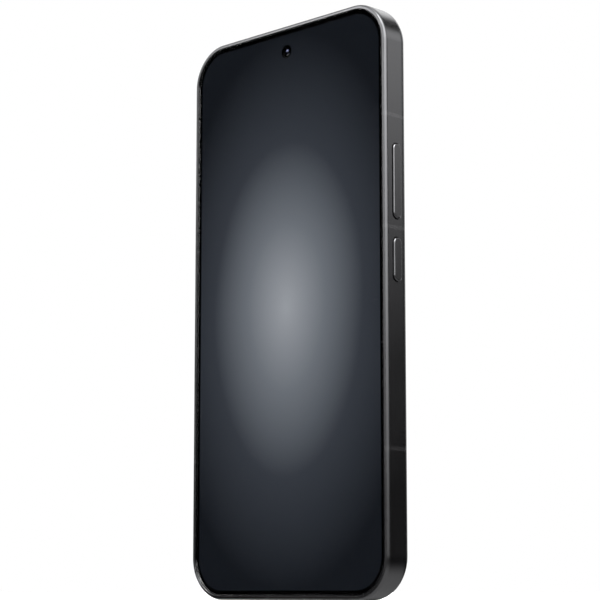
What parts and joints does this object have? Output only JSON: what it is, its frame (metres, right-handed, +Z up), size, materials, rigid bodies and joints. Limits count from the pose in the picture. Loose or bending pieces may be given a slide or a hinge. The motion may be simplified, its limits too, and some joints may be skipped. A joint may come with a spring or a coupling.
{
  "type": "smartphone",
  "caption": "Flat slab smartphone with a glass front and back, metal frame, side keys, sliding SIM tray and rear camera deck.",
  "frame": {"origin": "bottom centre of the bounding box: the phone stands upright on its bottom end", "axes": "+Z up along the height of the phone; the screen faces -Y; +X towards the side with the volume and power keys"},
  "size_m": [0.0716, 0.0102, 0.1523],
  "materials": {
    "frame": "bead-blasted and anodised, satin",
    "band": "satin, tinted to the frame",
    "front_glass": "polished",
    "display": "lit display, smooth",
    "sensor": "satin",
    "flex": "satin polyimide",
    "back_glass": "frosted glass, opaque coating inside",
    "camera_metal": "satin with polished edges",
    "camera_window": "polished",
    "flash_lens": "clear, ribbed inside",
    "led": "phosphor",
    "board": "solder mask",
    "module_plastic": "matt black",
    "lens": "coated lens in a black barrel",
    "shield": "stamped tin plate",
    "screw_steel": "plain steel",
    "cell": "laminated foil pouch",
    "copper": "copper foil",
    "keys": "bead-blasted and anodised, satin"
  },
  "bodies": {
    "chassis": {"antenna_band_bottom_1": "band", "antenna_band_bottom_2": "band", "antenna_band_left_1": "band", "antenna_band_left_2": "band", "antenna_band_right_1": "band", "antenna_band_right_2": "band", "antenna_band_right_3": "band", "antenna_band_top_1": "band", "antenna_band_top_2": "band", "antenna_cover": "module_plastic", "back_cover": "back_glass", "battery_board": "board", "battery_cell": "cell", "camera_deck": "camera_metal", "charging_coil": "copper", "cover_glass": "front_glass", "display_flex": "flex", "display_panel": "display", "earpiece_speaker": "module_plastic", "fingerprint_sensor": "sensor", "flash_led": "led", "flash_window": "flash_lens", "front_camera": "module_plastic", "haptic_housing": "shield", "interconnect_flex": "flex", "key_switch_flex": "flex", "loudspeaker": "module_plastic", "mainboard": "board", "mid_frame": "frame", "screw_1": "screw_steel", "screw_2": "screw_steel", "screw_3": "screw_steel", "screw_4": "screw_steel", "screw_5": "screw_steel", "shield_can_main": "shield", "shield_can_radio": "shield", "sim_reader": "shield", "soc_package": "module_plastic", "sub_board": "board", "tele_housing": "module_plastic", "tele_ring": "camera_metal", "tele_sensor_board": "board", "tele_window": "camera_window", "ultrawide_housing": "module_plastic", "ultrawide_lens": "lens", "ultrawide_ring": "camera_metal", "ultrawide_window": "camera_window", "usb_shell": "shield", "usb_tongue": "module_plastic", "vapour_chamber": "copper", "wide_housing": "module_plastic", "wide_ring": "camera_metal", "wide_sensor_board": "board", "wide_window": "camera_window"},
    "volume_key": {"volume_key": "keys"},
    "power_key": {"power_key": "keys"},
    "sim_tray": {"sim_tray": "keys"},
    "haptic_mass": {"haptic_mass": "screw_steel"},
    "wide_lens": {"wide_lens": "lens"},
    "tele_lens": {"tele_lens": "lens"}
  },
  "joints": [
    {"name": "volume_key_press", "type": "slide", "parent": "chassis", "child": "volume_key", "axis": [-1, 0, 0], "range_m": [0, 0.00025], "stiffness_N_per_m": 6000},
    {"name": "power_key_press", "type": "slide", "parent": "chassis", "child": "power_key", "axis": [-1, 0, 0], "range_m": [0, 0.00025], "stiffness_N_per_m": 6000},
    {"name": "sim_tray_slide", "type": "slide", "parent": "chassis", "child": "sim_tray", "axis": [-1, 0, 0], "range_m": [0, 0.02]},
    {"name": "haptic_mass_slide", "type": "slide", "parent": "chassis", "child": "haptic_mass", "axis": [1, 0, 0], "range_m": [-0.0005, 0.0005], "stiffness_N_per_m": 1500},
    {"name": "wide_focus", "type": "slide", "parent": "chassis", "child": "wide_lens", "axis": [0, 1, 0], "range_m": [0, 0.0003], "stiffness_N_per_m": 300},
    {"name": "tele_focus", "type": "slide", "parent": "chassis", "child": "tele_lens", "axis": [0, 1, 0], "range_m": [0, 0.0003], "stiffness_N_per_m": 300}
  ]
}
